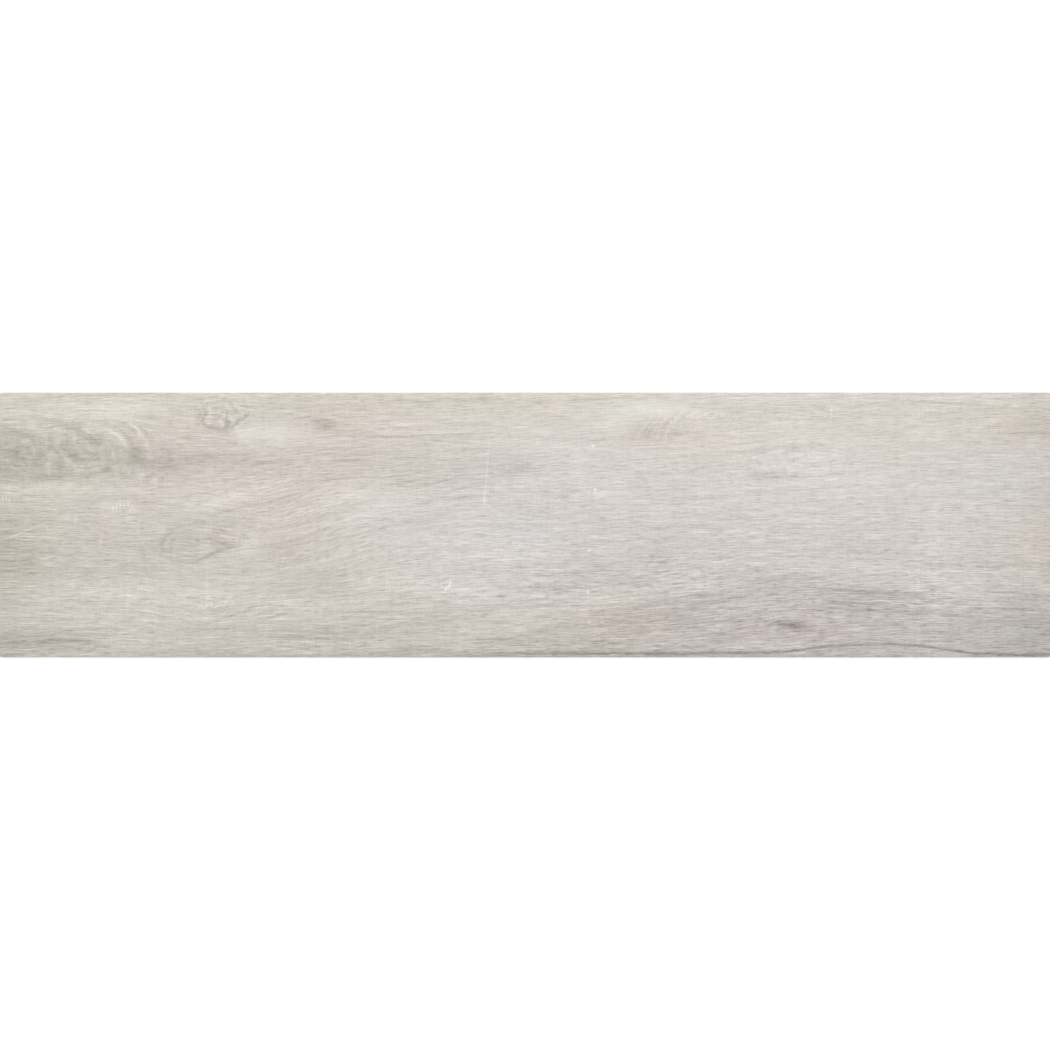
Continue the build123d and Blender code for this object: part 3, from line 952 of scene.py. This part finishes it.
def printedGlaze(settings):
    material, tree, shader, position = newMaterial("printedGlaze")
    place = facePlace(tree, position)
    field = {
        name: addNode(tree, "ShaderNodeAttribute", attribute_name=name).outputs["Fac"]
        for name in (*printFields, "grainLift")
    }
    fine, long, pores, bands = fibres(tree, place, field["grainLift"])
    along, across = split(tree, place)[:2]
    cross, mottle, speckle = (
        stretchedNoise(tree, along, across, printLayers[n]) for n in ("cross", "mottle", "speckle")
    )

    def moved(byAlong, byAcross, reach):
        # the place, shifted by two noises, up to reach each way
        way = [times(tree, centred(tree, n), 2 * r) for n, r in zip((byAlong, byAcross), reach)]
        shift = made(tree, "ShaderNodeCombineXYZ", {0: way[0], 1: way[1]})
        return vectorCalc(tree, "ADD", place, shift)

    # patches fray along the grain, and drawn strokes only a little
    frayed = moved(fine, bands, settings["fray"])
    roughened = moved(bands, speckle, settings["roughen"])
    wobbled = moved(mottle, mottle, (0.0, settings["wobble"]))
    tone = addSpots(tree, frayed, printTones)
    tone = addSpots(tree, roughened, printStrokes, tone, strokes)
    tone = addSpots(tree, wobbled, printLines, tone, strokes)
    tone = addSpots(tree, place, printMarks, tone, strokes)
    softness = settings["footSoftness"]
    foot = smoothRange(tree, belowCurve(tree, frayed, footBorder), -softness, softness)
    crack = times(tree, belowCurve(tree, wobbled, crackLine), 1 / settings["crackWidth"])
    crack = calc(tree, "POWER", math.exp(-1), times(tree, crack, crack))
    fadeIn = smoothRange(tree, along, settings["crackStart"], settings["crackFull"])
    crack = times(tree, times(tree, crack, fadeIn), bands)
    inputs = {"Vector": place, "Angle": math.radians(settings["hatchTurn"])}
    slant = made(tree, "ShaderNodeVectorRotate", inputs, rotation_type="Z_AXIS", invert=True)
    hatch = stretchedNoise(tree, *split(tree, slant)[:2], printLayers["hatch"])
    streaks = 0.0
    for layer, level in ((fine, "fibreLevel"), (long, "longLevel"), (bands, "bandLevel")):
        streaks = timesPlus(tree, centred(tree, layer), settings[level], streaks)
    streaks = timesPlus(tree, pores, settings["poreLevel"], streaks)
    # the arris: a painted highlight along it, and nicks worn down to the body
    height = split(tree, position)[2]
    arris = smoothRange(tree, height, thickness - settings["arrisStart"], thickness - settings["arrisFull"])
    inputs = {"Vector": position, "Scale": 1 / settings["nickSize"], "Detail": 3.0, "Roughness": 0.6}
    nicks = made(tree, "ShaderNodeTexNoise", inputs)
    nicks = smoothRange(tree, nicks, settings["nickStart"], settings["nickFull"])
    nicks = times(tree, nicks, arris)
    for layer, level in (
        (foot, settings["footLevel"]),
        (crack, 2 * settings["crackLevel"]),
        (streaks, field["printContrast"]),
        (centred(tree, cross), settings["crossLevel"]),
        (centred(tree, speckle), settings["speckleLevel"]),
        (centred(tree, mottle), times(tree, field["printMottle"], settings["mottleLevel"])),
        (centred(tree, hatch), times(tree, field["printHatch"], settings["hatchLevel"])),
        # the painted highlight on the arris
        (arris, settings["arrisHighlightLevel"]),
        (nicks, settings["nickLevel"]),
    ):
        tone = timesPlus(tree, layer, level, tone)
    red, greenBase, blue = settings["colour"]
    levels = (
        timesPlus(tree, field["printWarmth"], 0.5, calc(tree, "ADD", tone, red)),
        calc(tree, "ADD", field["printGreen"], calc(tree, "ADD", tone, greenBase)),
        timesPlus(tree, field["printWarmth"], -0.5, calc(tree, "ADD", tone, blue)),
    )
    colour = levelsColour(tree, levels)
    tree.links.new(colour, shader.inputs["Base Color"])
    roughness = timesPlus(tree, centred(tree, fine), settings["fibreRoughness"], settings["roughness"])
    roughness = timesPlus(tree, nicks, settings["nickRoughness"], roughness)
    roughness = timesPlus(tree, pores, settings["poreRoughness"], roughness)
    tree.links.new(roughness, shader.inputs["Roughness"])
    relief = minus(tree, calc(tree, "ADD", fine, long), pores)
    relief = timesPlus(tree, nicks, -settings["nickDepth"], relief)
    bump = addNode(tree, "ShaderNodeBump", {"Height": relief, "Distance": settings["bumpDepth"]})
    tree.links.new(bump.outputs[0], shader.inputs["Normal"])
    return material


# The bare stoneware of the sides and the back

bodySettings = {
    "colour": (196.0, 188.0, 176.0),
    "grainSize": 1.1 * mm,
    "grainLevel": 22.0,
    "speckSize": 0.9 * mm,  # dark specks in the body
    "speckStart": 0.73,
    "speckFull": 0.8,
    "speckLevel": -30.0,
    "patchSize": 9.0 * mm,
    "patchLevel": 12.0,
    "glazeColour": (206.0, 200.5, 193.5),
    "glazeFoot": 8.0 * mm,  # how far down the sides the glaze has run
    "glazeEdge": 0.3 * mm,
    "glazeRagged": 1.5 * mm,
    "raggedSize": 4.0 * mm,
    "glazeRoughness": -0.25,
    "washColour": (224.0, 221.0, 214.0),  # the powder that keeps the ribs from sticking in the kiln
    "washHeight": 0.25 * mm,
    "washPatches": (0.38, 0.58, 0.35, 0.95),  # from and to in the noise, and how thick the powder lies
    "roughness": 0.85,
    "bumpDepth": 0.05 * mm,
}


def stonewareBody(settings):
    material, tree, shader, position = newMaterial("stonewareBody")
    height = split(tree, position)[2]

    def noise(size, detail):
        inputs = {"Vector": position, "Scale": 1 / size, "Detail": detail, "Roughness": 0.6}
        return made(tree, "ShaderNodeTexNoise", inputs)

    grain = noise(settings["grainSize"], 3.0)
    specks = noise(settings["speckSize"], 0.0)
    specks = smoothRange(tree, specks, settings["speckStart"], settings["speckFull"])
    patches = noise(settings["patchSize"], 4.0)
    ragged = centred(tree, noise(settings["raggedSize"], 3.0))
    ragged = timesPlus(tree, ragged, 2 * settings["glazeRagged"], height)
    glaze = smoothRange(tree, ragged, settings["glazeFoot"], settings["glazeFoot"] + settings["glazeEdge"])
    wash = smoothRange(tree, height, settings["washHeight"], 0.0)
    wash = times(tree, wash, smoothRange(tree, patches, *settings["washPatches"]))
    bare = times(tree, centred(tree, grain), settings["grainLevel"])
    bare = timesPlus(tree, specks, settings["speckLevel"], bare)
    bare = timesPlus(tree, centred(tree, patches), settings["patchLevel"], bare)
    levels = []
    for base, glazed, washed in zip(settings["colour"], settings["glazeColour"], settings["washColour"]):
        level = timesPlus(tree, wash, washed - base, calc(tree, "ADD", bare, base))
        rest = minus(tree, glazed, level)
        levels.append(timesPlus(tree, glaze, rest, level))
    tree.links.new(levelsColour(tree, levels), shader.inputs["Base Color"])
    roughness = timesPlus(tree, glaze, settings["glazeRoughness"], settings["roughness"])
    tree.links.new(roughness, shader.inputs["Roughness"])
    bump = addNode(tree, "ShaderNodeBump", {"Height": grain, "Distance": settings["bumpDepth"]})
    tree.links.new(bump.outputs[0], shader.inputs["Normal"])
    return material


materials = {"glaze": printedGlaze(printSettings), "body": stonewareBody(bodySettings)}
print("materials made")


def addTree(piece, tree, values):
    # a modifier's inputs are set by their sockets' identifiers, before anything evaluates it
    modifier = piece.modifiers.new(tree.name, "NODES")
    modifier.node_group = tree
    for item in tree.interface.items_tree:
        if item.in_out == "INPUT" and item.name in values:
            modifier[item.identifier] = values[item.name]


def finishPiece(piece):
    # the modifiers' result as a plain mesh
    bpy.context.view_layer.update()
    evaluated = piece.evaluated_get(bpy.context.evaluated_depsgraph_get())
    mesh = bpy.data.meshes.new_from_object(evaluated)
    piece.modifiers.clear()
    old = piece.data
    piece.data = mesh
    bpy.data.meshes.remove(old)
    mesh.name = piece.name
    for index in reversed(range(len(mesh.materials))):  # the slot of what had no material yet
        if mesh.materials[index] is None:
            mesh.materials.pop(index=index)


tile = buildSlab(slabSettings)
addTree(tile, faceReliefTree(printFields), reliefSettings)
addTree(tile, honeycombTree(materials), backSettings)
finishPiece(tile)
for polygon in tile.data.polygons:
    polygon.use_smooth = polygon.center.z > thickness - slabSettings["arrisRadius"]
print("tile made,", len(tile.data.polygons), "faces")
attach(tile, "root")
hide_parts("floor_tile")


# The studio: a pale floor that the camera sees as white, soft light from above, and the camera overhead

studioSettings = {
    "floorHalf": 6.0,
    "openingInset": 1.2 * mm,  # how far the tile laps over the opening's edge
    "floorLevel": 0.82,
    "floorGlow": 0.45,  # what only the camera sees, so that the floor is white and keeps a faint shadow
    "worldStrength": 0.72,
    "lampPlace": (-0.5, 0.6, 2.2),
    "lampSize": 2.6,
    "lampPower": 18.0,
    "lens": 200.0,
    "sensor": 36.0,
    "pastTheEnds": 0.7 * mm,  # how far each end of the tile runs out of the picture
}


def seenDirectly(tree):
    rays = tree.nodes.new("ShaderNodeLightPath")
    seen = calc(tree, "MAXIMUM", rays.outputs["Is Camera Ray"], rays.outputs["Is Glossy Ray"])
    return calc(tree, "MAXIMUM", seen, rays.outputs["Is Transmission Ray"])


def buildFloor(settings):
    # the tile lies over an opening in the floor, so that its back shows from below
    half, inset = settings["floorHalf"], settings["openingInset"]
    rings = ((half, half), (halfLength - inset, halfWidth - inset))
    corners = [(i * x, j * y, 0) for x, y in rings for i, j in ((-1, -1), (1, -1), (1, 1), (-1, 1))]
    data = bpy.data.meshes.new("studioFloor")
    data.from_pydata(corners, [], [(k, (k + 1) % 4, 4 + (k + 1) % 4, 4 + k) for k in range(4)])
    floor = bpy.data.objects.new("studioFloor", data)
    bpy.context.scene.collection.objects.link(floor)
    material, tree, shader = newMaterial("studioFloor")[:3]
    level = settings["floorLevel"]
    shader.inputs["Base Color"].default_value = (level, level, level, 1)
    shader.inputs["Roughness"].default_value = 1.0
    shader.inputs["Specular IOR Level"].default_value = 0.0
    glow = times(tree, seenDirectly(tree), settings["floorGlow"])
    shader.inputs["Emission Color"].default_value = (1, 1, 1, 1)
    tree.links.new(glow, shader.inputs["Emission Strength"])
    data.materials.append(material)


def buildWorld(settings):
    world = bpy.data.worlds.new("studioWorld")
    bpy.context.scene.world = world
    world.use_nodes = True
    tree = world.node_tree
    background = tree.nodes["Background"]
    background.inputs["Color"].default_value = (1, 1, 1, 1)
    strength = smoothRange(tree, seenDirectly(tree), 0.0, 1.0, settings["worldStrength"], 1.0)
    tree.links.new(strength, background.inputs["Strength"])


def buildLamp(settings):
    data = bpy.data.lights.new("softLamp", "AREA")
    data.shape = "DISK"
    data.size = settings["lampSize"]
    data.energy = settings["lampPower"]
    lamp = bpy.data.objects.new("softLamp", data)
    lamp.location = settings["lampPlace"]
    lamp.rotation_euler = (-Vector(settings["lampPlace"])).to_track_quat("-Z", "Y").to_euler()
    bpy.context.scene.collection.objects.link(lamp)


def buildCamera(settings):
    data = bpy.data.cameras.new("overhead")
    data.lens = settings["lens"]
    data.sensor_width = settings["sensor"]
    camera = bpy.data.objects.new("overhead", data)
    distance = (2 * halfLength - 2 * settings["pastTheEnds"]) * settings["lens"] / settings["sensor"]
    camera.location = (0, 0, thickness + distance)
    data.clip_end = 4 * distance
    bpy.context.scene.collection.objects.link(camera)
    bpy.context.scene.camera = camera


buildFloor(studioSettings)
buildWorld(studioSettings)
buildLamp(studioSettings)
buildCamera(studioSettings)
bpy.context.scene.view_settings.view_transform = "Standard"
print("studio made")
